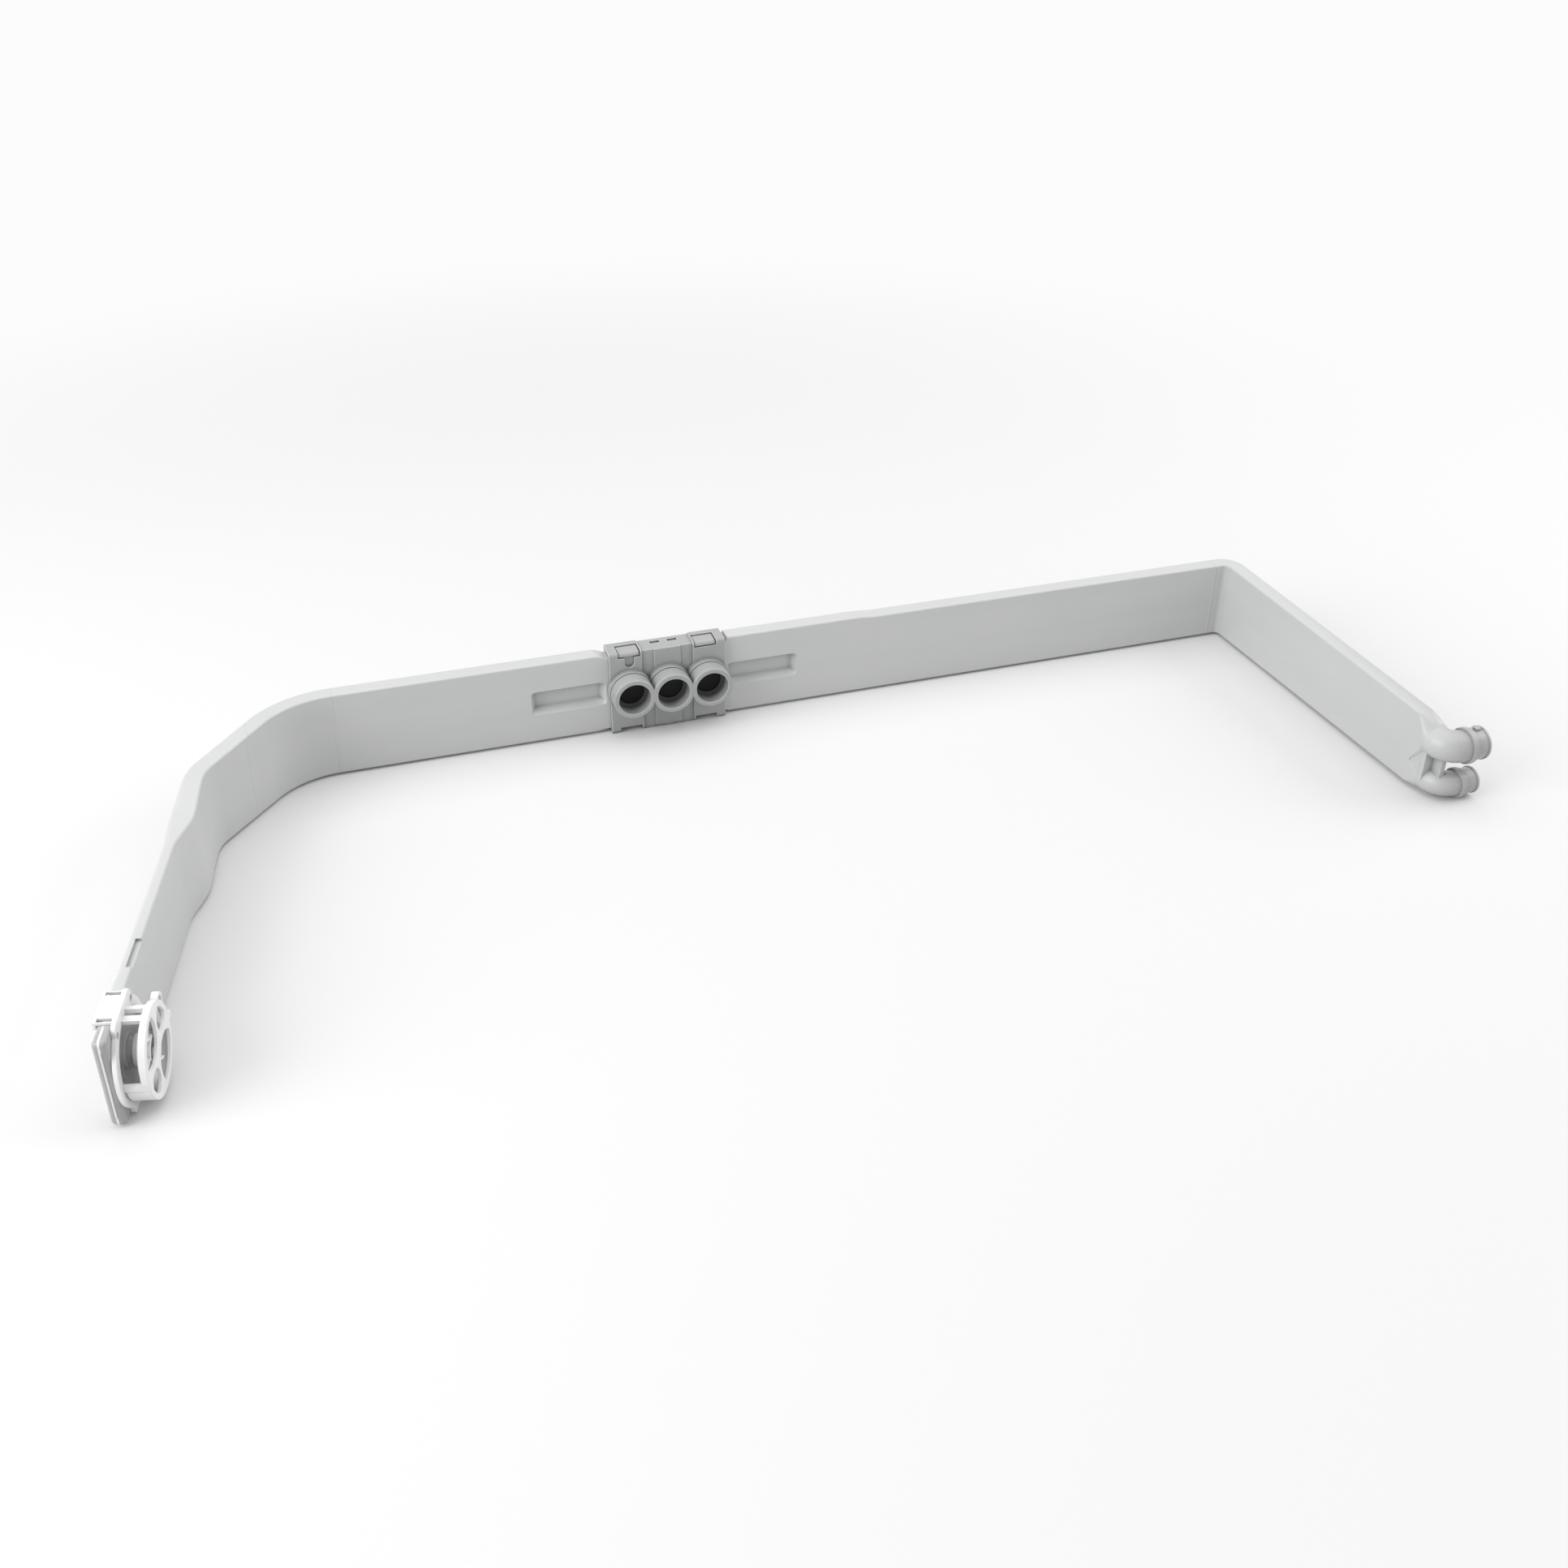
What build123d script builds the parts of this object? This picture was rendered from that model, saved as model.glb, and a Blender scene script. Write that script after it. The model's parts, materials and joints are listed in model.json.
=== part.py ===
import os
from math import cos, radians, sin, tan

from build123d import *

os.makedirs("parts", exist_ok=True)

# Water tube of a dishwasher, lying on its narrow edge.
# X runs along the main run, Y points out of its back face and Z is up.
# The origin lies under the middle port, in the plane of the main run's front face.

# Tube section
tube_thick = 12.0
tube_height = 54.0
tube_lift = 1.6
edge_radius = 3.0
front_edge_radius = 1.1
wall = 1.8
web_thick = 1.6
web_height = 18.6

# Tube route, measured on the inner face
main_left = 229.0
main_right = 399.0
slant_length = 78.4
slant_angle = 48.5
left_length = 227.0
left_lean = 13.3
right_length = 208.0
right_lean = 2.35
bend_radius_first = 52.0
bend_radius_second = 30.0
corner_radius = 3.5

# Upper edge: the height falls off along both arms
jog_x = 128.0
jog_length = 12.0
jog_drop = 1.0
slant_drop = 2.0
left_drop = 3.5
corner_drop = 1.6
right_top_drop = 5.0
right_bottom_rise = 1.2

# Left arm: it bulges past the second bend, thins, and swells a little where the sprayer sits
bulge_amount = 1.6
bulge_place = 42.0
thin_amount = 3.6
thin_back = 1.8
thin_place = 73.0
ease_steps = 5
swell_amount = 0.5
swell_start = 175.0
swell_length = 7.0
end_radius = 2.5
seam_width = 0.9
seam_proud = 0.4
groove_start = 150.0
groove_length = 22.0
groove_width = 3.0
groove_depth = 1.4

# Moulded pockets in the front face, one on each side of the docking housing
pocket_middle = 63.2
pocket_length = 47.5
pocket_height = 16.2
pocket_z = 28.6
pocket_depth = 6.0
pocket_corner = 2.4
pocket_draft = 28.0

# Inlet elbows and spigots at the right end
neck_length = 9.6
neck_set_out = 2.2
neck_flat = 0.01
elbow_radius = 10.6
upper_pipe_radius = 9.8
lower_pipe_radius = 7.8
upper_bore_radius = 8.1
lower_bore_radius = 6.0
upper_inlet_z = 35.4
lower_inlet_z = 9.4
spigot_length = 12.6
bead_proud = 1.5
bead_width = 3.2
bead_step = 1.5
bead_round = 0.6
rim_proud = 0.5
rim_width = 1.3
nub_size = 3.4
nub_from_end = 4.8
nub_proud = 1.4
elbow_web_thick = 3.0
web_front_gap = 0.5
web_front_reach = 3.0

# Docking housing, a saddle clipped over the main run
ring_overhang = 1.4
housing_front = 3.2
housing_back = 11.4
housing_wall = 2.2
housing_proud = 1.2
housing_edge = 2.0
seat_step = 2.6
seat_bottom_step = 0.9
seat_slope = 6.4
seat_side = 1.2
clip_clearance = 0.15
band_half = 16.6
band_drop = 0.8
band_set_back = 1.1
stripe_half = 8.5
stripe_set_back = 0.5
rib_thick = 1.8
window_margin = 5.7
window_inner = 17.4
window_back = 7.3
window_sill = 2.6
bottom_sill = 2.1
notch_width = 6.3
notch_depth = 7.0
slot_length = 6.3
slot_width = 2.6
slot_middle = 5.6
slot_y = 7.2
lug_play = 0.7
lug_radius = 2.6
lug_recess = 0.6
lug_crown = 2.2

# Ports
port_count = 3
port_pitch = 25.0
port_z = 30.6
port_bore_radius = 10.4
ring_radius = 13.8
ring_length = 3.8
collar_radius = 13.4
collar_front = 17.0
collar_gap = 0.6
sleeve_radius = 12.0
sleeve_clearance = 0.1
rim_chamfer = 0.6

# Flat seal between the housing and the tube
seal_thick = 1.1
seal_play = 0.05
seal_margin = 0.8
seal_half_height = 13.0
seal_bore_radius = 10.4

# Flaps that shut the ports
flap_y = -4.6
flap_thick = 1.4
flap_radius = 9.4
flap_top = 6.6
flap_pin_rise = 8.2
flap_pin_radius = 0.7
flap_pin_clearance = 0.05
flap_pin_half = 4.3
flap_seat_gap = 0.1
seat_lip = 1.2
seat_opening_radius = 8.6
seat_opening_top = 5.6
knuckle_half = 2.2
ear_inner = 2.5
ear_radius = 1.15

# Roof sprayer on the left arm: a push-in nozzle, a spinning spray head and the cage that holds it
spray_from_end = 24.0
spray_drop = 0.25
nozzle_hole_radius = 6.2
nozzle_play = 0.05
nozzle_flange_radius = 9.0
nozzle_flange_thick = 1.4
nozzle_shoulder_radius = 7.0
nozzle_cone_length = 2.4
nozzle_neck_radius = 4.2
nozzle_bore_radius = 2.8
nozzle_neck_length = 8.4
cage_plate_radius = 26.4
cage_plate_bore = 21.4
cage_plate_thick = 2.2
cage_clearance = 0.1
strap_width = 31.0
strap_thick = 1.4
strap_hook = 2.4
strap_corner = 4.0
strap_slot_length = 7.0
strap_slot_width = 2.4
strap_slot_offset = 9.5
lens_hole_radius = 1.9
lens_hole_spread = 13.5
lens_hole_inset = 4.9
cage_depth = 14.2
band_outer_radius = 23.2
band_wall = 1.5
band_length = 3.4
skirt_drop = 6.0
skirt_gap = 0.7
post_width = 3.6
post_depth = 2.4
post_angles = (80, 100, 190, 350)
web_plate_thick = 1.6
web_turn = 40.0
large_petal_radius = 12.4
small_petal_radius = 6.8
petal_circle = 15.5
tab_width = 3.4
tab_reach = 3.6
loop_angle = 45.0
loop_radius = 4.0
loop_bore_radius = 2.4
loop_length = 3.4
rotor_clearance = 0.06
rotor_gap = 0.4
rotor_hub_radius = 8.2
rotor_chamber_radius = 5.2
rotor_chamber_length = 1.0
rotor_disc_radius = 17.0
rotor_disc_thick = 1.4
rotor_rim_wall = 1.4
rotor_rim_length = 0.8
vane_count = 6
vane_thick = 1.3
vane_slew = 30.0
jet_radius = 1.2
jet_circle = 3.6
jet_count = 3


def ahead(heading):
    return Vector(cos(radians(heading)), sin(radians(heading)), 0)


def outward(heading):
    return Vector(-sin(radians(heading)), cos(radians(heading)), 0)


# The route is walked from the closed left end to the inlets on the right
main_heading = 0.0
slant_heading = slant_angle
left_heading = 90 - left_lean
right_heading = -(90 - right_lean)
first_corner = Vector(-main_left, 0, 0)
second_corner = first_corner - ahead(slant_heading) * slant_length
left_end = second_corner - ahead(left_heading) * left_length
right_corner = Vector(main_right, 0, 0)
arm_end = right_corner + ahead(right_heading) * right_length

low = tube_lift
high = tube_lift + tube_height
spray_z = (low + high - left_drop) / 2 - spray_drop
housing_half = port_pitch * (port_count - 1) / 2 + ring_radius - ring_overhang
window_outer = housing_half - window_margin
seal_half_length = housing_half - seal_margin
main_form = (0, tube_thick, low, high)
seat_form = (0, tube_thick, low + seat_bottom_step, high - seat_step)
jogged_form = (0, tube_thick, low, high - jog_drop)
corner_form = (0, tube_thick, low, high - corner_drop)
arm_end_form = (0, tube_thick, low + right_bottom_rise, high - right_top_drop)
slant_form = (0, tube_thick, low, high - slant_drop)
bulge_form = (-bulge_amount, tube_thick + bulge_amount, low, high - left_drop)
thin_thick = tube_thick - thin_amount - thin_back
thin_form = (thin_amount, thin_thick, low, high - left_drop)
swell_form = (thin_amount, thin_thick + swell_amount, low, high - left_drop)


def cross_plane(point, heading, form):
    set_out, thick, bottom, top = form
    middle = point + outward(heading) * (set_out + thick / 2)
    origin = Vector(middle.X, middle.Y, (bottom + top) / 2)
    return Plane(origin=origin, x_dir=outward(heading), z_dir=ahead(heading))


def rounded(plane, width, height, front_radius, back_radius):
    with BuildSketch(plane) as profile:
        Rectangle(width, height)
        fillet(profile.vertices().group_by(Axis.X)[-1], back_radius)
        fillet(profile.vertices().group_by(Axis.X)[0], front_radius)
    return profile.sketch


def cross_section(point, heading, form, inset):
    thick, bottom, top = form[1:]
    back_radius = edge_radius - inset
    front_radius = min(front_edge_radius, back_radius)
    plane = cross_plane(point, heading, form)
    return rounded(plane, thick - 2 * inset, top - bottom - 2 * inset, front_radius, back_radius)


def tangent(radius, turn):
    return radius * tan(radians(turn / 2))


def duct(inset):
    second_turn = left_heading - slant_heading
    corner_turn = main_heading - right_heading
    first_tangent = tangent(bend_radius_first, slant_heading)
    second_tangent = tangent(bend_radius_second, second_turn)
    corner_tangent = tangent(corner_radius, corner_turn)
    seat_left = -housing_half - seat_side
    seat_right = housing_half + seat_side

    def run(heading, start, start_form, end, end_form):
        first = cross_section(start, heading, start_form, inset)
        last = cross_section(end, heading, end_form, inset)
        loft(sections=[first, last], ruled=True, clean=False)

    def eased_run(heading, start, start_form, end, end_form):
        sections = []
        for number in range(ease_steps + 1):
            share = number / ease_steps
            blend = share * share * (3 - 2 * share)
            form = tuple(first + (last - first) * blend for first, last in zip(start_form, end_form))
            sections.append(cross_section(start + (end - start) * share, heading, form, inset))
        loft(sections=sections, clean=False)

    def bend(start, heading, form, radius, turn):
        middle = start - outward(heading) * radius
        axis = Axis(middle, (0, 0, -1))
        profile = cross_section(start, heading, form, inset)
        revolve(profile, axis=axis, revolution_arc=turn, clean=False)

    def on_left_arm(distance):
        return second_corner - ahead(left_heading) * distance

    def on_main(x):
        return Vector(x, 0, 0)

    with BuildPart() as form:
        closed_end = left_end + ahead(left_heading) * inset
        swell_end = on_left_arm(swell_start + swell_length)
        run(left_heading, closed_end, swell_form, swell_end, swell_form)
        run(left_heading, swell_end, swell_form, on_left_arm(swell_start), thin_form)
        thin_end = on_left_arm(thin_place)
        run(left_heading, on_left_arm(swell_start), thin_form, thin_end, thin_form)
        bulge = on_left_arm(bulge_place)
        eased_run(left_heading, thin_end, thin_form, bulge, bulge_form)
        second_in = on_left_arm(second_tangent)
        eased_run(left_heading, bulge, bulge_form, second_in, slant_form)
        bend(second_in, left_heading, slant_form, bend_radius_second, second_turn)
        second_out = second_corner + ahead(slant_heading) * second_tangent
        first_in = first_corner - ahead(slant_heading) * first_tangent
        run(slant_heading, second_out, slant_form, first_in, main_form)
        bend(first_in, slant_heading, main_form, bend_radius_first, slant_heading)
        first_out = on_main(first_tangent - main_left)
        step_left = on_main(seat_left - seat_slope)
        run(main_heading, first_out, main_form, step_left, main_form)
        run(main_heading, step_left, main_form, on_main(seat_left), seat_form)
        run(main_heading, on_main(seat_left), seat_form, on_main(seat_right), seat_form)
        step_right = on_main(seat_right + seat_side)
        run(main_heading, on_main(seat_right), seat_form, step_right, main_form)
        run(main_heading, step_right, main_form, on_main(jog_x), main_form)
        jog_end = on_main(jog_x + jog_length)
        run(main_heading, on_main(jog_x), main_form, jog_end, jogged_form)
        corner_in = on_main(main_right - corner_tangent)
        run(main_heading, jog_end, jogged_form, corner_in, corner_form)
        bend(corner_in, main_heading, corner_form, corner_radius, corner_turn)
        corner_out = right_corner + ahead(right_heading) * corner_tangent
        run(right_heading, corner_out, corner_form, arm_end, arm_end_form)
    return form.part


# Tube body: one blown piece with its two channels, pockets, lugs and inlet elbows
def pocket_block(grow):
    with BuildPart() as block:
        with BuildSketch(Plane.XZ):
            with Locations((-pocket_middle, pocket_z), (pocket_middle, pocket_z)):
                RectangleRounded(pocket_length + 2 * grow, pocket_height + 2 * grow, pocket_corner + grow)
        extrude(amount=-pocket_depth - grow, taper=pocket_draft)
    return block.part


elbow_start = arm_end + ahead(right_heading) * neck_length
inlet_turn = 90.0
inlet_heading = right_heading + inlet_turn
pipe_offset = tube_thick / 2 + neck_set_out
elbow_centre = elbow_start + outward(right_heading) * (pipe_offset + elbow_radius)
bend_end = elbow_centre + ahead(right_heading) * elbow_radius


def neck_and_elbow(radius, centre_z, bottom, top, inset):
    half = radius - inset
    start_form = (0, tube_thick, bottom, top)
    start = elbow_start + outward(right_heading) * pipe_offset
    pipe_plane = Plane(
        origin=Vector(start.X, start.Y, centre_z),
        x_dir=outward(right_heading),
        z_dir=ahead(right_heading),
    )
    turning_axis = Axis(elbow_centre, (0, 0, 1))
    with BuildPart() as pipe:
        neck = cross_section(arm_end, right_heading, start_form, inset)
        mouth = rounded(pipe_plane, 2 * half, 2 * half, half - neck_flat, half - neck_flat)
        loft(sections=[neck, mouth], ruled=True)
        with BuildSketch(pipe_plane) as throat:
            Circle(half)
        revolve(throat.sketch, axis=turning_axis, revolution_arc=inlet_turn)
    return pipe.part


def spigot_plane(centre_z):
    origin = Vector(bend_end.X, bend_end.Y, centre_z)
    return Plane(origin=origin, x_dir=(0, 0, 1), z_dir=ahead(inlet_heading))


def spigot(radius, centre_z):
    bead = radius + bead_proud
    step = radius + bead_proud / 2
    rim = radius + rim_proud
    side = spigot_plane(centre_z)
    profile_plane = Plane(origin=side.origin, x_dir=side.z_dir, z_dir=side.y_dir)
    with BuildPart() as barrel:
        with BuildSketch(profile_plane):
            with BuildLine():
                Polyline(
                    (0, 0),
                    (0, bead),
                    (bead_width, bead),
                    (bead_width, step),
                    (bead_width + bead_step, step),
                    (bead_width + bead_step, radius),
                    (spigot_length - rim_width, radius),
                    (spigot_length - rim_width, rim),
                    (spigot_length, rim),
                    (spigot_length, 0),
                    close=True,
                )
            make_face()
        revolve(axis=Axis(side.origin, side.z_dir))
        bead_edges = barrel.edges().filter_by(GeomType.CIRCLE).group_by(SortBy.RADIUS)[-1]
        fillet(bead_edges, bead_round)
    return barrel.part


def nub(radius, centre_z, up):
    place = bend_end + ahead(inlet_heading) * (spigot_length - nub_from_end)
    top = radius + nub_proud
    plane = Plane(
        origin=Vector(place.X, place.Y, centre_z + up * top / 2),
        x_dir=ahead(inlet_heading),
        z_dir=(0, 0, 1),
    )
    with BuildPart(plane) as lump:
        Box(nub_size, nub_size, top)
    return lump.part


def spigot_bore(radius, centre_z):
    with BuildPart() as bore:
        with BuildSketch(spigot_plane(centre_z)):
            Circle(radius)
        extrude(amount=spigot_length)
    return bore.part


inlets = (
    (upper_pipe_radius, upper_bore_radius, upper_inlet_z, web_height, high - right_top_drop, 1),
    (lower_pipe_radius, lower_bore_radius, lower_inlet_z, low + right_bottom_rise, web_height, -1),
)
seat_top = high - seat_step
seat_bottom = low + seat_bottom_step
lug_middle = (window_outer + window_inner) / 2
lug_length = window_outer - window_inner - 2 * lug_play
spray_centre = left_end + ahead(left_heading) * spray_from_end
spray_face = spray_centre + outward(left_heading) * thin_amount
spray_out = outward(left_heading) * -1
spray_plane = Plane(
    origin=Vector(spray_face.X, spray_face.Y, spray_z),
    x_dir=ahead(left_heading),
    z_dir=spray_out,
)

with BuildPart() as cavity:
    add(duct(wall))
    add(pocket_block(wall), mode=Mode.SUBTRACT)
    channel_split_end = pocket_middle
    split_length = channel_split_end + main_right + 2 * tube_thick
    with Locations((split_length / 2 - channel_split_end, -right_length / 2, web_height)):
        Box(split_length, right_length + 4 * tube_thick, web_thick, mode=Mode.SUBTRACT)
    with Locations((-channel_split_end, tube_thick / 2, web_height + tube_height / 2)):
        Box(web_thick, tube_thick, tube_height, mode=Mode.SUBTRACT)

with BuildPart() as tube_body:
    add(duct(0))
    closing = tube_body.faces().sort_by(Axis(left_end, ahead(left_heading)))[0]
    fillet(closing.edges(), end_radius)
    # Rounded lugs that catch in the housing's windows
    for side in (-1, 1):
        with BuildSketch(Plane.YZ.offset(side * lug_middle - lug_length / 2)):
            with Locations((window_back / 2, (low + high) / 2)):
                RectangleRounded(window_back - 2 * lug_play, tube_height - lug_play, lug_radius)
        extrude(amount=lug_length)
        with BuildSketch(Plane.YZ.offset(side * lug_middle - lug_length / 2)) as crown:
            lug_front = lug_recess - housing_front
            lug_top = high + housing_proud - lug_recess
            lug_bottom = high - window_sill + lug_play
            with Locations(((lug_front + window_back - lug_play) / 2, (lug_top + lug_bottom) / 2)):
                Rectangle(window_back - lug_play - lug_front, lug_top - lug_bottom)
            fillet(crown.vertices().group_by(Axis.Y)[-1].sort_by(Axis.X)[0], lug_crown)
        extrude(amount=lug_length)
    for pipe, bore, centre_z, bottom, top, up in inlets:
        add(neck_and_elbow(pipe, centre_z, bottom, top, 0))
        add(spigot(pipe, centre_z))
        add(nub(pipe, centre_z, up))
    # Thin web that ties the two elbows together
    web_reach = neck_length + elbow_radius
    web_middle = arm_end + ahead(right_heading) * (web_reach / 2) + outward(right_heading) * pipe_offset
    web_plane = Plane(
        origin=Vector(web_middle.X, web_middle.Y, (upper_inlet_z + lower_inlet_z) / 2),
        x_dir=ahead(right_heading),
        z_dir=(0, 0, 1),
    )
    with Locations(web_plane):
        Box(web_reach, elbow_web_thick, upper_inlet_z - lower_inlet_z)
    # Between the necks the web comes forward, close to the front face
    fill_reach = neck_length + web_front_reach
    with Locations(web_plane):
        with Locations(((fill_reach - web_reach) / 2, (web_front_gap - pipe_offset) / 2)):
            Box(fill_reach, pipe_offset - web_front_gap, upper_inlet_z - lower_inlet_z)
    # Moulding seam down the closed end
    seam_plane = Plane(origin=left_end, x_dir=outward(left_heading), z_dir=ahead(left_heading) * -1)
    seam_middle = thin_amount + swell_form[1] / 2
    with BuildSketch(seam_plane):
        with Locations((seam_middle, -(low + high - left_drop) / 2)):
            Rectangle(seam_width, tube_height - left_drop - 2 * end_radius - 2 * edge_radius)
    extrude(amount=seam_proud)
    # Hollow, openings and pockets
    add(cavity.part, mode=Mode.SUBTRACT)
    add(pocket_block(0), mode=Mode.SUBTRACT)
    for pipe, bore, centre_z, bottom, top, up in inlets:
        add(neck_and_elbow(pipe, centre_z, bottom, top, pipe - bore), mode=Mode.SUBTRACT)
        add(spigot_bore(bore, centre_z), mode=Mode.SUBTRACT)
    with BuildSketch(Plane.XZ):
        with Locations((0, port_z)):
            with GridLocations(port_pitch, 0, port_count, 1):
                Circle(port_bore_radius)
    extrude(amount=-tube_thick / 2, mode=Mode.SUBTRACT)
    with BuildSketch(spray_plane):
        Circle(nozzle_hole_radius)
    extrude(amount=-2 * wall, mode=Mode.SUBTRACT)
    # Groove along the upper inner edge of the thin stretch
    groove_place = second_corner - ahead(left_heading) * (groove_start + groove_length / 2)
    groove_place = groove_place + outward(left_heading) * thin_amount
    groove_plane = Plane(
        origin=Vector(groove_place.X, groove_place.Y, high - left_drop),
        x_dir=ahead(left_heading),
        z_dir=(0, 0, 1),
    )
    with Locations(groove_plane):
        Box(groove_length, 2 * groove_width, 2 * groove_depth, mode=Mode.SUBTRACT)
tube_body.part.label = "tube_body"
export_step(tube_body.part, "parts/tube_body.step")


# Docking housing: a saddle over the main run, with a ring round each port
housing_top = high + housing_proud
cut_reach = 2 * tube_thick
recess_depth = seal_thick + 2 * seal_play
ring_front = housing_front + ring_length


def block(x_range, y_range, z_range, mode=Mode.ADD):
    middle = tuple((start + end) / 2 for start, end in (x_range, y_range, z_range))
    size = [end - start for start, end in (x_range, y_range, z_range)]
    with Locations(middle):
        Box(*size, mode=mode)


with BuildPart() as docking_housing:
    block((-housing_half, housing_half), (-housing_front, housing_back), (0, housing_top))
    front_edges = docking_housing.edges().filter_by(Axis.X).group_by(Axis.Y)[0]
    fillet(front_edges, housing_edge)
    # Room for the tube, with ribs left standing between the wall and the seat
    whole = (-housing_half, housing_half)
    behind = (-clip_clearance, housing_back)
    block(whole, behind, (seat_bottom - clip_clearance, seat_top + clip_clearance), Mode.SUBTRACT)
    band_room = band_half - rib_thick / 2
    band_ceiling = housing_top - band_drop - housing_wall
    block((-band_room, band_room), behind, (seat_bottom, band_ceiling), Mode.SUBTRACT)
    for side in (-1, 1):
        rib_inner = side * (band_half + rib_thick / 2)
        rib_outer = side * (housing_half - rib_thick)
        room = (min(rib_inner, rib_outer), max(rib_inner, rib_outer))
        block(room, behind, (seat_bottom, housing_top - housing_wall), Mode.SUBTRACT)
    # The middle band lies lower, with a raised stripe down its centre
    band = (-band_half, band_half)
    all_y = (-cut_reach, cut_reach)
    block(band, all_y, (housing_top - band_drop, housing_top + band_drop), Mode.SUBTRACT)
    for side in (-1, 1):
        strip = (min(side * stripe_half, side * band_half), max(side * stripe_half, side * band_half))
        block(strip, (-cut_reach, band_set_back - housing_front), (0, housing_top), Mode.SUBTRACT)
    stripe = (-stripe_half, stripe_half)
    block(stripe, (-cut_reach, stripe_set_back - housing_front), (0, housing_top), Mode.SUBTRACT)
    # Windows for the lugs, over the upper edge and under the lower one
    for side in (-1, 1):
        window = (min(side * window_inner, side * window_outer), max(side * window_inner, side * window_outer))
        over = (high - window_sill, housing_top + housing_wall)
        block(window, (-cut_reach, window_back), over, Mode.SUBTRACT)
        block(window, (-cut_reach, window_back), (-housing_wall, low + bottom_sill), Mode.SUBTRACT)
    with BuildSketch(Plane.XZ):
        with Locations((-lug_middle, high - window_sill - notch_depth / 2 + notch_width / 4)):
            SlotOverall(notch_depth + notch_width / 2, notch_width, rotation=90)
    extrude(amount=housing_front, mode=Mode.SUBTRACT)
    # Release slots in the middle band
    for side in (-1, 1):
        with Locations((side * slot_middle, slot_y, housing_top)):
            Box(slot_length, slot_width, 2 * housing_proud + 2 * housing_wall, mode=Mode.SUBTRACT)
        with Locations((side * slot_middle, -housing_front, 0)):
            Box(slot_length, 2 * slot_width, slot_width, mode=Mode.SUBTRACT)
    # Rings round the ports, sleeve bores and the recess for the seal
    with BuildSketch(Plane.XZ.offset(recess_depth)):
        with Locations((0, port_z)):
            with GridLocations(port_pitch, 0, port_count, 1):
                Circle(ring_radius)
    extrude(amount=ring_front - recess_depth)
    with BuildSketch(Plane.XZ):
        with Locations((0, port_z)):
            RectangleRounded(
                2 * (seal_half_length + seal_play),
                2 * (seal_half_height + seal_play),
                seal_half_height - seal_play,
            )
    extrude(amount=recess_depth, mode=Mode.SUBTRACT)
    with BuildSketch(Plane.XZ):
        with Locations((0, port_z)):
            with GridLocations(port_pitch, 0, port_count, 1):
                Circle(sleeve_radius + sleeve_clearance)
    extrude(amount=ring_front, mode=Mode.SUBTRACT)
docking_housing.part.label = "docking_housing"
export_step(docking_housing.part, "parts/docking_housing.step")

# Port collars: three merged collars on sleeves that push into the housing, with a flap seat in each
pin_z = port_z + flap_pin_rise
lip_back = flap_y - flap_thick / 2 - flap_seat_gap
collar_back = ring_front + collar_gap
with BuildPart() as port_collars:
    with BuildSketch(Plane.XZ.offset(collar_back)):
        with Locations((0, port_z)):
            with GridLocations(port_pitch, 0, port_count, 1):
                Circle(collar_radius)
    extrude(amount=collar_front - collar_back)
    rims = port_collars.faces().sort_by(Axis.Y)[0]
    chamfer(rims.edges(), rim_chamfer)
    with BuildSketch(Plane.XZ.offset(recess_depth)):
        with Locations((0, port_z)):
            with GridLocations(port_pitch, 0, port_count, 1):
                Circle(sleeve_radius)
    extrude(amount=collar_back - recess_depth)
    with BuildSketch(Plane.XZ):
        with Locations((0, port_z)):
            with GridLocations(port_pitch, 0, port_count, 1):
                Circle(port_bore_radius)
    extrude(amount=collar_front, mode=Mode.SUBTRACT)
    # Lip that the flap shuts against, flat across its top
    with BuildSketch(Plane.XZ.offset(-lip_back)):
        with Locations((0, port_z)):
            with GridLocations(port_pitch, 0, port_count, 1):
                Circle((port_bore_radius + sleeve_radius) / 2)
                Circle(seat_opening_radius, mode=Mode.SUBTRACT)
            with Locations((0, (seat_opening_top + port_bore_radius) / 2)):
                with GridLocations(port_pitch, 0, port_count, 1):
                    Rectangle(port_bore_radius, port_bore_radius - seat_opening_top)
    extrude(amount=seat_lip)
    # Ears that carry the flap's pin
    ear_reach = port_bore_radius - flap_pin_rise
    ear_length = flap_pin_half - ear_inner
    for side in (-1, 1):
        ear_x = side * (ear_inner + ear_length / 2)
        with Locations((ear_x, flap_y, pin_z)):
            with GridLocations(port_pitch, 0, port_count, 1):
                Cylinder(ear_radius, ear_length, rotation=(0, 90, 0))
        with Locations((ear_x, flap_y, pin_z + ear_reach / 2)):
            with GridLocations(port_pitch, 0, port_count, 1):
                Box(ear_length, 2 * ear_radius, ear_reach)
    with Locations((0, flap_y, pin_z)):
        with GridLocations(port_pitch, 0, port_count, 1):
            Cylinder(
                flap_pin_radius + flap_pin_clearance,
                2 * flap_pin_half + ear_length,
                rotation=(0, 90, 0),
                mode=Mode.SUBTRACT,
            )
port_collars.part.label = "port_collars"
export_step(port_collars.part, "parts/port_collars.step")

# Flat rubber seal behind the housing
with BuildPart() as port_seal:
    with BuildSketch(Plane.XZ.offset(seal_play)):
        with Locations((0, port_z)):
            RectangleRounded(2 * seal_half_length, 2 * seal_half_height, seal_half_height - 2 * seal_play)
            with GridLocations(port_pitch, 0, port_count, 1):
                Circle(seal_bore_radius, mode=Mode.SUBTRACT)
    extrude(amount=seal_thick)
port_seal.part.label = "port_seal"
export_step(port_seal.part, "parts/port_seal.step")


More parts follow.
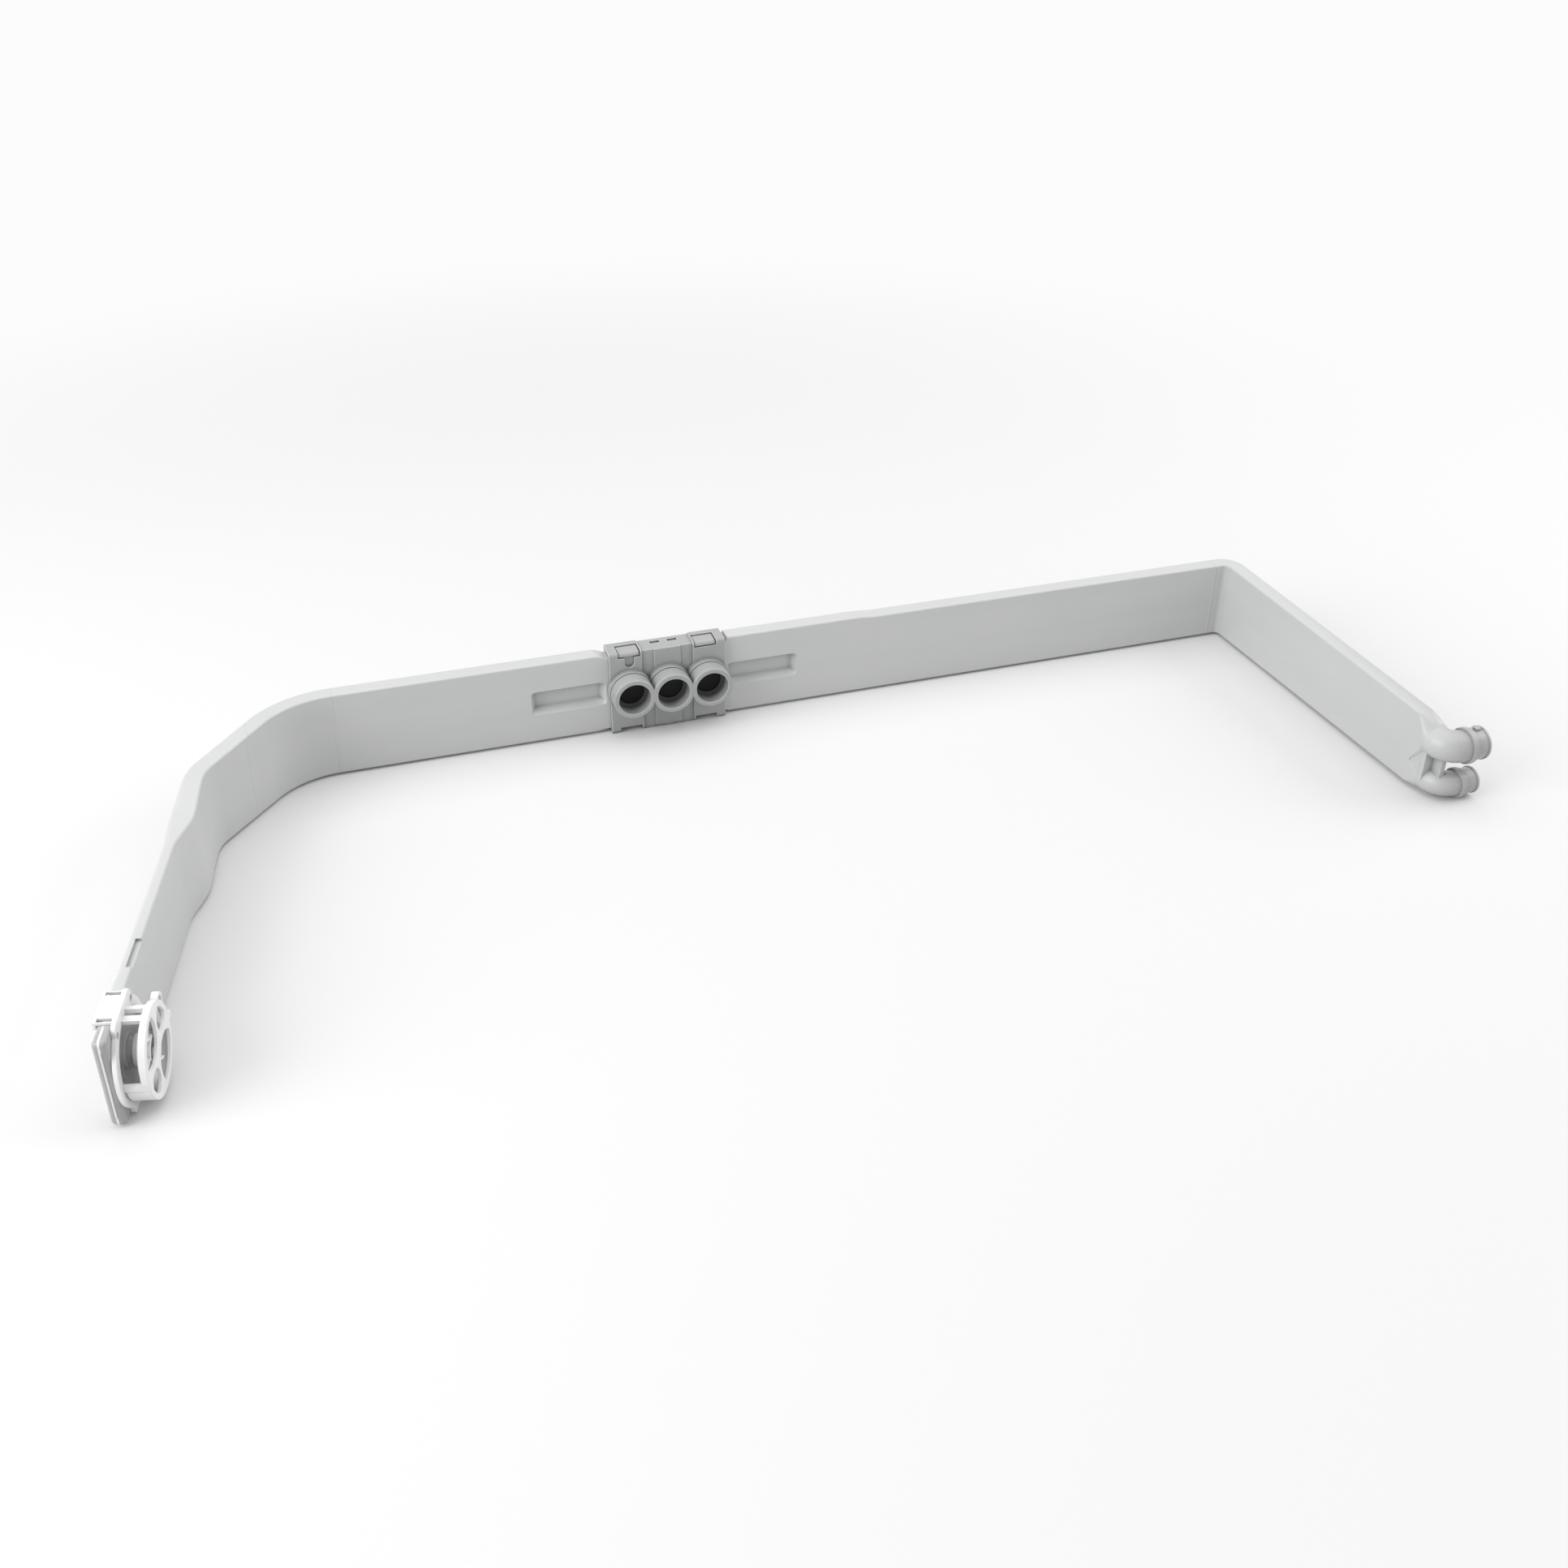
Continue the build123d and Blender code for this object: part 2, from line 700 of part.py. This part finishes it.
# Flaps, each hung from its pin and pushed inward by the pipe that docks
def flap(port_x):
    with BuildPart() as leaf:
        with BuildSketch(Plane.XZ.offset(-flap_y - flap_thick / 2)):
            with Locations((port_x, port_z)):
                Circle(flap_radius)
                with Locations((0, flap_top + flap_radius)):
                    Rectangle(2 * flap_radius, 2 * flap_radius, mode=Mode.SUBTRACT)
                with Locations((0, flap_pin_rise / 2)):
                    Rectangle(2 * knuckle_half, flap_pin_rise)
        extrude(amount=flap_thick)
        with Locations((port_x, flap_y, pin_z)):
            Cylinder(flap_pin_radius, 2 * flap_pin_half, rotation=(0, 90, 0))
    return leaf


for number, name in enumerate(("port_flap_left", "port_flap_middle", "port_flap_right")):
    leaf = flap((number - 1) * port_pitch)
    leaf.part.label = name
    export_step(leaf.part, "parts/" + name + ".step")

# Spray nozzle: a flanged bush pushed into the tube, whose neck carries the spray head
shank_radius = nozzle_hole_radius - nozzle_play
with BuildPart() as spray_nozzle:
    with BuildSketch(Plane(origin=spray_plane.origin, x_dir=spray_plane.x_dir, z_dir=spray_plane.y_dir * -1)):
        with BuildLine():
            Polyline(
                (nozzle_bore_radius, -wall),
                (shank_radius, -wall),
                (shank_radius, 0),
                (nozzle_flange_radius, 0),
                (nozzle_flange_radius, nozzle_flange_thick),
                (nozzle_shoulder_radius, nozzle_flange_thick),
                (nozzle_neck_radius, nozzle_flange_thick + nozzle_cone_length),
                (nozzle_neck_radius, nozzle_neck_length),
                (nozzle_bore_radius, nozzle_neck_length),
                close=True,
            )
        make_face()
    revolve(axis=Axis(spray_plane.origin, spray_plane.z_dir))
spray_nozzle.part.label = "spray_nozzle"
export_step(spray_nozzle.part, "parts/spray_nozzle.step")

# Spray head: it spins on the nozzle's neck, with jets and vanes behind the cage's web
hub_back = nozzle_flange_thick + nozzle_cone_length + rotor_gap
chamber_front = nozzle_neck_length + rotor_chamber_length
disc_front = chamber_front + rotor_disc_thick
vane_front = cage_depth - web_plate_thick - rotor_gap
with BuildPart() as spray_rotor:
    with BuildSketch(spray_plane.offset(hub_back)):
        Circle(rotor_hub_radius)
    extrude(amount=chamber_front - hub_back)
    with BuildSketch(spray_plane.offset(chamber_front)):
        Circle(rotor_disc_radius)
    extrude(amount=rotor_disc_thick)
    with BuildSketch(spray_plane.offset(chamber_front - rotor_rim_length)):
        Circle(rotor_disc_radius)
        Circle(rotor_disc_radius - rotor_rim_wall, mode=Mode.SUBTRACT)
    extrude(amount=rotor_rim_length)
    vane_length = rotor_disc_radius - rotor_hub_radius
    with BuildSketch(spray_plane.offset(disc_front)):
        with PolarLocations((rotor_disc_radius + rotor_hub_radius) / 2, vane_count):
            Rectangle(vane_length, vane_thick, rotation=vane_slew)
        Circle(rotor_hub_radius)
        Circle(rotor_hub_radius - rotor_rim_wall, mode=Mode.SUBTRACT)
    extrude(amount=vane_front - disc_front)
    with BuildSketch(spray_plane.offset(hub_back)):
        Circle(nozzle_neck_radius + rotor_clearance)
    extrude(amount=nozzle_neck_length - hub_back, mode=Mode.SUBTRACT)
    with BuildSketch(spray_plane.offset(nozzle_neck_length)):
        Circle(rotor_chamber_radius)
    extrude(amount=rotor_chamber_length, mode=Mode.SUBTRACT)
    with BuildSketch(spray_plane.offset(chamber_front)):
        with PolarLocations(jet_circle, jet_count):
            Circle(jet_radius)
    extrude(amount=rotor_disc_thick, mode=Mode.SUBTRACT)
spray_rotor.part.label = "spray_rotor"
export_step(spray_rotor.part, "parts/spray_rotor.step")

# Spray cage: plate and straps round the arm, posts, front band and its cross-shaped web
arm_top = high - left_drop - spray_z
arm_bottom = low - spray_z
arm_thick = swell_form[1]
strap_top = arm_top + cage_clearance + strap_thick
strap_bottom = arm_bottom - cage_clearance - strap_thick
plate_front = cage_clearance + cage_plate_thick
band_back = cage_depth - band_length
strap_back = -arm_thick - cage_clearance - strap_thick
with BuildPart() as spray_cage:
    with BuildSketch(spray_plane.offset(cage_clearance)):
        Circle(cage_plate_radius)
        with Locations((0, (strap_top + strap_bottom) / 2)):
            RectangleRounded(strap_width, strap_top - strap_bottom, strap_corner)
        Circle(cage_plate_bore, mode=Mode.SUBTRACT)
        lens_hole_rise = arm_top - lens_hole_inset
        with Locations((-lens_hole_spread, lens_hole_rise), (lens_hole_spread, lens_hole_rise)):
            Circle(lens_hole_radius, mode=Mode.SUBTRACT)
    extrude(amount=cage_plate_thick)
    with Locations(spray_plane):
        strap_run = plate_front - strap_back
        strap_middle = (plate_front + strap_back) / 2
        for edge, hook_middle in (
            (strap_top - strap_thick / 2, strap_top - (strap_hook + strap_thick) / 2),
            (strap_bottom + strap_thick / 2, strap_bottom + (strap_hook + strap_thick) / 2),
        ):
            with Locations((0, edge, strap_middle)):
                Box(strap_width - 2 * strap_corner, strap_thick, strap_run)
            with Locations((0, hook_middle, strap_back + strap_thick / 2)):
                Box(strap_width - 2 * strap_corner, strap_hook + strap_thick, strap_thick)
        for side in (-1, 1):
            with Locations((side * strap_slot_offset, strap_top, -arm_thick / 2)):
                Box(strap_slot_width, 3 * strap_thick, strap_slot_length, mode=Mode.SUBTRACT)
    with BuildSketch(spray_plane.offset(band_back)):
        Circle(band_outer_radius)
        Circle(band_outer_radius - band_wall, mode=Mode.SUBTRACT)
    extrude(amount=band_length)
    # The band runs back to the plate as a skirt along its lower side
    with BuildSketch(spray_plane.offset(plate_front + skirt_gap)):
        Circle(band_outer_radius)
        Circle(band_outer_radius - band_wall, mode=Mode.SUBTRACT)
        with Locations((0, band_outer_radius - skirt_drop)):
            Rectangle(2 * band_outer_radius, 2 * band_outer_radius, mode=Mode.SUBTRACT)
    extrude(amount=band_back - plate_front - skirt_gap)
    with BuildSketch(spray_plane.offset(plate_front)):
        for angle in post_angles:
            with PolarLocations(band_outer_radius - post_depth / 2, 1, start_angle=angle):
                Rectangle(post_depth, post_width)
    extrude(amount=band_back - plate_front + band_wall)
    with BuildSketch(spray_plane.offset(cage_depth - web_plate_thick)):
        Circle(band_outer_radius)
        with BuildSketch(mode=Mode.PRIVATE) as petals:
            with PolarLocations(petal_circle, 2, start_angle=web_turn):
                Circle(small_petal_radius)
            with PolarLocations(petal_circle, 2, start_angle=web_turn + 90):
                Circle(large_petal_radius)
            Circle(band_outer_radius - 2 * band_wall, mode=Mode.INTERSECT)
        add(petals.sketch, mode=Mode.SUBTRACT)
    extrude(amount=web_plate_thick)
    with BuildSketch(spray_plane.offset(cage_depth - loop_length)):
        with PolarLocations(band_outer_radius, 1, start_angle=loop_angle):
            Circle(loop_radius)
            Circle(loop_bore_radius, mode=Mode.SUBTRACT)
        with PolarLocations(band_outer_radius + tab_reach / 2 - band_wall / 2, 1):
            Rectangle(tab_reach + band_wall, tab_width)
        Circle(band_outer_radius - band_wall, mode=Mode.SUBTRACT)
    extrude(amount=loop_length)
spray_cage.part.label = "spray_cage"
export_step(spray_cage.part, "parts/spray_cage.step")
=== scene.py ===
import json
import math

import bpy
from mathutils import Matrix, Vector


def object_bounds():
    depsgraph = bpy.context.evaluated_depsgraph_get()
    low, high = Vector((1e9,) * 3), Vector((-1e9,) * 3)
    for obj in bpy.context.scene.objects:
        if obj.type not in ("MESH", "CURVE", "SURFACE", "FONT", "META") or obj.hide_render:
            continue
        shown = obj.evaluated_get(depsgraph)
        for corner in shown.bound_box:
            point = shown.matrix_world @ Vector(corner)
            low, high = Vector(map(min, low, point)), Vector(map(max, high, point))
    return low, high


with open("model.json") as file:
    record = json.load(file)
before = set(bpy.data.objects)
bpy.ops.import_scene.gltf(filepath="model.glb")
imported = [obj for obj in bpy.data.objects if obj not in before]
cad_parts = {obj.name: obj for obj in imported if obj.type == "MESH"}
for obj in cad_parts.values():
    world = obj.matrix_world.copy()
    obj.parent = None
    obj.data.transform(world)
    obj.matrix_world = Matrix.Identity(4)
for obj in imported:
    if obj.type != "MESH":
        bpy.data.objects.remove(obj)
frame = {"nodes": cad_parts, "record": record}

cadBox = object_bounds()
mm = 0.001


class Field:  # one shader value, so that masks and sums read as Python
    def __init__(self, finish, socket):
        self.finish = finish
        self.socket = socket

    def maths(self, operation, first, second):
        return self.finish.node("ShaderNodeMath", {"operation": operation}, {0: first, 1: second})

    def __add__(self, other):
        return self.maths("ADD", self, other)

    def __sub__(self, other):
        return self.maths("SUBTRACT", self, other)

    def __rsub__(self, other):
        return self.maths("SUBTRACT", other, self)

    def __mul__(self, other):
        return self.maths("MULTIPLY", self, other)

    __radd__ = __add__
    __rmul__ = __mul__


# how finely creases and edges are felt, and how sharp an edge counts as one
feeler = {"creaseSamples": 8, "edgeSamples": 8, "roundSamples": 6, "edgeFrom": 0.03, "edgeTo": 0.22}


class Finish:  # the node tree of one material, or of the world
    def __init__(self, owner):
        owner.use_nodes = True
        self.owner = owner
        self.tree = owner.node_tree
        self.tree.nodes.clear()

    def node(self, kind, settings=None, sockets=None, output=0):
        made = self.tree.nodes.new(kind)
        for key, value in (settings or {}).items():
            setattr(made, key, value)
        for key, value in (sockets or {}).items():
            if isinstance(value, Field):
                self.tree.links.new(value.socket, made.inputs[key])
            else:
                made.inputs[key].default_value = value
        return Field(self, made.outputs[output]) if len(made.outputs) else made

    def place(self):
        return self.node("ShaderNodeTexCoord", output="Object")

    def along(self, axis):
        return self.node("ShaderNodeSeparateXYZ", None, {0: self.place()}, axis)

    def noise(self, scale, stretch=(1, 1, 1), detail=2.0):
        vector = self.node("ShaderNodeVectorMath", {"operation": "MULTIPLY"}, {0: self.place(), 1: stretch})
        sockets = {"Vector": vector, "Scale": scale, "Detail": detail}
        return self.node("ShaderNodeTexNoise", None, sockets, "Fac")

    def step(self, value, low, high):  # 0 below low, 1 above high, soft between
        ends = {"Value": value, "From Min": low, "From Max": high}
        return self.node("ShaderNodeMapRange", {"interpolation_type": "SMOOTHSTEP"}, ends)

    def between(self, value, low, high, soft):  # 1 inside the span, 0 outside
        return self.step(value, low - soft, low) - self.step(value, high, high + soft)

    def stripe(self, value, middle, half, soft):
        return self.between(value, middle - half, middle + half, soft)

    def size(self, value):  # without its sign
        return self.node("ShaderNodeMath", {"operation": "ABSOLUTE"}, {0: value})

    def creases(self, reach, alone):  # 0 deep in a groove, 1 in the open
        settings = {"samples": feeler["creaseSamples"], "only_local": alone}
        return self.node("ShaderNodeAmbientOcclusion", settings, {"Distance": reach}, "AO")

    def edges(self, width):  # 1 along the sharp edges
        softened = self.node("ShaderNodeBevel", {"samples": feeler["edgeSamples"]}, {"Radius": width})
        facing = self.node("ShaderNodeNewGeometry", output="Normal")
        return self.step(1 - self.dot(softened, facing), feeler["edgeFrom"], feeler["edgeTo"])

    def dot(self, first, second):
        return self.node("ShaderNodeVectorMath", {"operation": "DOT_PRODUCT"}, {0: first, 1: second}, "Value")

    def tint(self, factor, dark, light):  # each end is a plain colour or one made before
        ends = {"Factor": factor}
        for key, value in (("A", dark), ("B", light)):
            ends[key] = value if isinstance(value, Field) else (*value, 1)
        return self.node("ShaderNodeMix", {"data_type": "RGBA"}, ends, "Result")

    def relief(self, height, depth, edge):  # rounds the sharp edges a little and lays the grain over them
        rounded = self.node("ShaderNodeBevel", {"samples": feeler["roundSamples"]}, {"Radius": edge})
        return self.node("ShaderNodeBump", None, {"Height": height, "Distance": depth, "Normal": rounded})

    def looking(self):  # 1 for what the camera sees, also in a reflection or through glass
        rays = ("Is Camera Ray", "Is Glossy Ray", "Is Transmission Ray")
        first, second, third = (self.node("ShaderNodeLightPath", output=ray) for ray in rays)
        return first + second + third

    def surface(self, sockets):
        shader = self.node("ShaderNodeBsdfPrincipled", None, sockets)
        self.node("ShaderNodeOutputMaterial", None, {"Surface": shader})
        return self.owner


# blown tube: satin grey, with long flow streaks along every run and slicker inlet barrels, darkened by a painted
# dark reflection
tubeLook = {
    "dark": (0.55, 0.56, 0.56),
    "light": (0.63, 0.635, 0.63),
    "streakScale": 9.0,
    "streakStretch": (0.35, 0.35, 7.0),
    "streakDetail": 3.0,
    "streakShare": 0.6,
    "streakRough": 0.16,
    "cloudScale": 14.0,
    "cloudShare": 0.4,
    "grainScale": 1500.0,
    "grainDepth": 0.03 * mm,
    "scratchScale": 38.0,
    "scratchStretch": (0.5, 0.5, 9.0),
    "scratchDetail": 5.0,
    "scratchFrom": 0.6,
    "scratchTo": 0.75,
    "scratchRough": 0.08,
    "toolLines": (-257 * mm, -206 * mm, 391 * mm),
    "toolHalf": 0.35 * mm,
    "toolSoft": 0.7 * mm,
    "toolHeight": 6.0,
    "armWay": (0.041, -0.99916, 0.0),
    "neckAt": 234 * mm,
    "neckFrom": 396 * mm,
    "neckTo": 397 * mm,
    "roughness": 0.36,
    "edge": 0.5 * mm,
    "edgeShare": 0.6,
    "polishAndDarkReflection": (0.36, 0.365, 0.36),
    "slickRough": 0.14,
    "barrelFrom": 404 * mm,
    "barrelTo": 428 * mm,
    "barrelShare": 0.75,
    "capFrom": -271 * mm,
    "capTo": -262 * mm,
    "capShare": 0.85,
    "lugSpan": (17.6 * mm, 31.6 * mm),
    "lugFoot": (52.8 * mm, 53.0 * mm),
    "lugBack": (7.0 * mm, 7.3 * mm),
    "lugSoft": 0.3 * mm,
    "lugShare": 0.85,
    "seam": (0.86, 0.86, 0.86),
    "seamWay": (-0.9732, 0.23, 0.0),
    "seamAt": 267.08 * mm,
    "seamHalf": 0.5 * mm,
    "seamSoft": 0.1 * mm,
    "seamBare": 0.8,
    "creaseShade": (0.20, 0.20, 0.20),
    "creaseReach": 4 * mm,
}


def toolMarks(finish, look):  # upright marks of the mould, where the bends and the necks begin
    x = finish.along("X")
    marks = [finish.stripe(x, line, look["toolHalf"], look["toolSoft"]) for line in look["toolLines"]]
    downArm = finish.dot(finish.place(), look["armWay"])
    neck = finish.stripe(downArm, look["neckAt"], look["toolHalf"], look["toolSoft"])
    neck = neck * finish.step(x, look["neckFrom"], look["neckTo"])
    return look["toolHeight"] * sum(marks, neck)


def catchLugs(finish, look):  # 1 on the lugs that stand in the housing's windows
    lugs = finish.between(finish.size(finish.along("X")), *look["lugSpan"], look["lugSoft"])
    lugs = lugs * finish.step(finish.along("Z"), *look["lugFoot"])
    return lugs * (1 - finish.step(finish.along("Y"), *look["lugBack"]))


def blownPlastic(look):
    finish = Finish(bpy.data.materials.new("blownGreyPlastic"))
    streaks = finish.noise(look["streakScale"], look["streakStretch"], look["streakDetail"])
    clouds = finish.noise(look["cloudScale"])
    grain = finish.noise(look["grainScale"]) + toolMarks(finish, look)
    scratches = finish.noise(look["scratchScale"], look["scratchStretch"], look["scratchDetail"])
    scratches = finish.step(scratches, look["scratchFrom"], look["scratchTo"])

    barrels = finish.step(finish.along("X"), look["barrelFrom"], look["barrelTo"])
    cap = 1 - finish.step(finish.along("Y"), look["capFrom"], look["capTo"])
    polishAndDarkReflection = look["barrelShare"] * barrels + look["capShare"] * cap  # where the mould was polished: lower roughness, and a darker colour as painted dark reflection
    polishAndDarkReflection = polishAndDarkReflection + look["lugShare"] * catchLugs(finish, look)
    shade = finish.tint(look["streakShare"] * streaks + look["cloudShare"] * clouds, look["dark"], look["light"])
    # painted dark reflection: the polished barrels, end cap and lugs take the darker colour
    shade = finish.tint(polishAndDarkReflection, shade, look["polishAndDarkReflection"])

    # painted highlight: a bright line along the seam of the closed end, kept out of the crease shade
    fromSide = finish.dot(finish.place(), look["seamWay"])
    seam = cap * finish.stripe(fromSide, look["seamAt"], look["seamHalf"], look["seamSoft"])
    shade = finish.tint(seam, shade, look["seam"])  # painted highlight along the moulding seam
    unshaded = finish.creases(look["creaseReach"], True) + look["seamBare"] * seam
    # painted highlight along the sharp edges, kept out of the creases
    shade = finish.tint(look["edgeShare"] * finish.edges(look["edge"]) * unshaded, shade, look["seam"])

    rough = look["roughness"] + look["streakRough"] * (streaks - 0.5)
    return finish.surface(
        {
            # painted shade: the colour darkens in creases and grooves, by ambient occlusion
            "Base Color": finish.tint(unshaded, look["creaseShade"], shade),
            "Roughness": rough - look["slickRough"] * polishAndDarkReflection - look["scratchRough"] * scratches,
            "Normal": finish.relief(grain, look["grainDepth"], look["edge"]),
        }
    )


# moulded pieces: finer and more even, with weld clouds
mouldedLooks = {
    "housing": {
        "dark": (0.35, 0.36, 0.355),
        "light": (0.42, 0.43, 0.425),
        "paintedEdgeHighlight": (0.88, 0.88, 0.88),
        "creaseShade": (0.10, 0.10, 0.10),
        "roughness": 0.33,
        "edge": 0.8 * mm,
    },
    "sprayer": {
        "dark": (0.87, 0.875, 0.87),
        "light": (0.92, 0.92, 0.915),
        "paintedEdgeHighlight": (0.94, 0.94, 0.94),
        "creaseShade": (0.62, 0.62, 0.62),
        "roughness": 0.34,
        "edge": 0.5 * mm,
    },
}
mouldedGrain = {
    "cloudScale": 60.0,
    "cloudDetail": 3.0,
    "cloudRough": 0.1,
    "grainScale": 2600.0,
    "grainRough": 0.12,
    "depth": 0.018 * mm,
    "creaseReach": 3 * mm,
    "edgeShare": 1.0,
}

# ports: painted shade darkens the bores towards the flaps
paintedBoreShade = {
    "pitch": 25 * mm,
    "height": 30.6 * mm,
    "radius": 10.5 * mm,
    "soft": 0.1 * mm,
    "mouth": -13 * mm,
    "deep": -5 * mm,
    "colour": (0.05, 0.05, 0.05),
}


def portDepth(finish, look):  # 0 at a port's mouth, 1 deep in its bore
    half = look["pitch"] / 2
    side = finish.node("ShaderNodeMath", {"operation": "WRAP"}, {0: finish.along("X"), 1: half, 2: -half})
    rise = finish.along("Z") - look["height"]
    spread = side * side + rise * rise
    inside = 1 - finish.step(spread, look["radius"] ** 2, (look["radius"] + look["soft"]) ** 2)
    return inside * finish.step(finish.along("Y"), look["mouth"], look["deep"])


def mouldedPlastic(name, look, surface):
    finish = Finish(bpy.data.materials.new(name))
    clouds = finish.noise(surface["cloudScale"], detail=surface["cloudDetail"])
    grain = finish.noise(surface["grainScale"])
    shade = finish.tint(clouds, look["dark"], look["light"])
    unshaded = finish.creases(surface["creaseReach"], False)
    # painted highlight along the sharp edges, kept out of the creases
    shade = finish.tint(surface["edgeShare"] * finish.edges(look["edge"]) * unshaded, shade, look["paintedEdgeHighlight"])
    # painted shade: the bores go dark towards the flaps
    shade = finish.tint(portDepth(finish, paintedBoreShade), shade, paintedBoreShade["colour"])
    rough = look["roughness"] + surface["grainRough"] * (grain - 0.5)
    return finish.surface(
        {
            # painted shade: the colour darkens in creases and grooves, by ambient occlusion
            "Base Color": finish.tint(unshaded, look["creaseShade"], shade),
            "Roughness": rough + surface["cloudRough"] * (clouds - 0.5),
            "Normal": finish.relief(grain, surface["depth"], look["edge"]),
        }
    )


# seal: dull black, with a faint bloom
rubberLook = {
    "dark": (0.008, 0.008, 0.009),
    "light": (0.022, 0.022, 0.023),
    "bloomScale": 220.0,
    "bloomDetail": 4.0,
    "bloomRough": 0.2,
    "grainScale": 1900.0,
    "depth": 0.04 * mm,
    "edge": 0.3 * mm,
    "roughness": 0.68,
    "shine": 0.25,
}


def mattRubber(look):
    finish = Finish(bpy.data.materials.new("mattBlackRubber"))
    bloom = finish.noise(look["bloomScale"], detail=look["bloomDetail"])
    grain = finish.noise(look["grainScale"])
    return finish.surface(
        {
            "Base Color": finish.tint(bloom, look["dark"], look["light"]),
            "Roughness": look["roughness"] + look["bloomRough"] * (bloom - 0.5),
            "Specular IOR Level": look["shine"],
            "Normal": finish.relief(grain, look["depth"], look["edge"]),
        }
    )


finishes = {
    "tube_grey": blownPlastic(tubeLook),
    "housing_grey": mouldedPlastic("mouldedGreyPlastic", mouldedLooks["housing"], mouldedGrain),
    "sprayer_white": mouldedPlastic("mouldedWhitePlastic", mouldedLooks["sprayer"], mouldedGrain),
    "rubber_black": mattRubber(rubberLook),
}
for part in frame["record"]["subparts"]:
    mesh = frame["nodes"][part["node"]].data
    mesh.materials.clear()
    mesh.materials.append(finishes[part["material_slot"]])


# floor: pale and wide, white to the camera, with the part's soft shadow on it
floorLook = {
    "half": 6.0,
    "seen": (0.79, 0.79, 0.79),
    "bounce": (0.6, 0.6, 0.6),
    "far": (0.975, 0.975, 0.975),
    "fadeFrom": 0.45,
    "fadeTo": 1.1,
    "roughness": 0.9,
}


def layFloor(look):
    mesh = bpy.data.meshes.new("floor")
    half = look["half"]
    corners = [(-half, -half), (half, -half), (half, half), (-half, half)]
    mesh.from_pydata([(x, y, cadBox[0].z) for x, y in corners], [], [(0, 1, 2, 3)])
    finish = Finish(bpy.data.materials.new("paleFloor"))
    direct = finish.looking()
    shade = finish.tint(direct, look["bounce"], look["seen"])
    near = finish.node("ShaderNodeBsdfPrincipled", None, {"Base Color": shade, "Roughness": look["roughness"]})
    far = finish.node("ShaderNodeEmission", None, {"Color": (*look["far"], 1)})
    reach = finish.node("ShaderNodeVectorMath", {"operation": "LENGTH"}, {0: finish.place()}, "Value")
    fade = direct * finish.step(reach, look["fadeFrom"], look["fadeTo"])  # the far floor runs out to white
    both = finish.node("ShaderNodeMixShader", None, {0: fade, 1: near, 2: far})
    finish.node("ShaderNodeOutputMaterial", None, {"Surface": both})
    mesh.materials.append(finish.owner)
    floor = bpy.data.objects.new("floor", mesh)
    bpy.context.scene.collection.objects.link(floor)


layFloor(floorLook)
print("floor:", 2 * floorLook["half"], "m wide")

# light: one wide softbox overhead, two side panels and an even pale surround
lamps = {
    "overhead": {"place": (0.05, 0.15, 1.9), "target": (0.05, -0.1, 0.0), "size": 3.0, "power": 26.0},
    "leftPanel": {"place": (-1.7, -0.5, 0.9), "target": (0.1, -0.1, 0.0), "size": 1.4, "power": 23.5},
    "rightPanel": {"place": (1.9, -0.2, 0.9), "target": (0.1, -0.1, 0.0), "size": 1.4, "power": 15.5},
}
surround = {"light": 0.45, "seen": 1.0}


def hangLamp(name, lamp):
    light = bpy.data.lights.new(name, "AREA")
    light.size = lamp["size"]
    light.energy = lamp["power"]
    holder = bpy.data.objects.new(name, light)
    holder.location = lamp["place"]
    aim = Vector(lamp["target"]) - Vector(lamp["place"])
    holder.rotation_euler = aim.to_track_quat("-Z", "Y").to_euler()
    bpy.context.scene.collection.objects.link(holder)


def paleAir(look):
    world = bpy.data.worlds.new("paleSurround")
    bpy.context.scene.world = world
    air = Finish(world)
    strength = look["light"] + (look["seen"] - look["light"]) * air.looking()
    shine = air.node("ShaderNodeBackground", None, {"Color": (1, 1, 1, 1), "Strength": strength})
    air.node("ShaderNodeOutputWorld", None, {"Surface": shine})


for name, lamp in lamps.items():
    hangLamp(name, lamp)
paleAir(surround)
print("light:", len(lamps), "lamps and a pale surround")

# camera: the photograph's own stand point, in millimetres of the frame
view = {
    "place": (-244.2, -942.8, 579.6),
    "heading": 71.083,
    "down": 32.789,
    "roll": 0.618,
    "lens": 40.42,
    "sensor": 36.0,
    "nearest": 0.01,
}


def setCamera(view):
    camera = bpy.data.cameras.new("camera")
    camera.sensor_fit = "HORIZONTAL"
    camera.sensor_width = view["sensor"]
    camera.lens = view["lens"]
    camera.clip_start = view["nearest"]
    holder = bpy.data.objects.new("camera", camera)
    turn = Matrix.Rotation(math.radians(view["heading"] - 90), 4, "Z")
    tip = Matrix.Rotation(math.radians(90 - view["down"]), 4, "X")
    roll = Matrix.Rotation(math.radians(view["roll"]), 4, "Z")
    holder.matrix_world = Matrix.Translation(Vector(view["place"]) * mm) @ turn @ tip @ roll
    bpy.context.scene.collection.objects.link(holder)
    bpy.context.scene.camera = holder


setCamera(view)
bpy.context.scene.view_settings.view_transform = "Standard"
print("camera: lens", view["lens"], "mm")
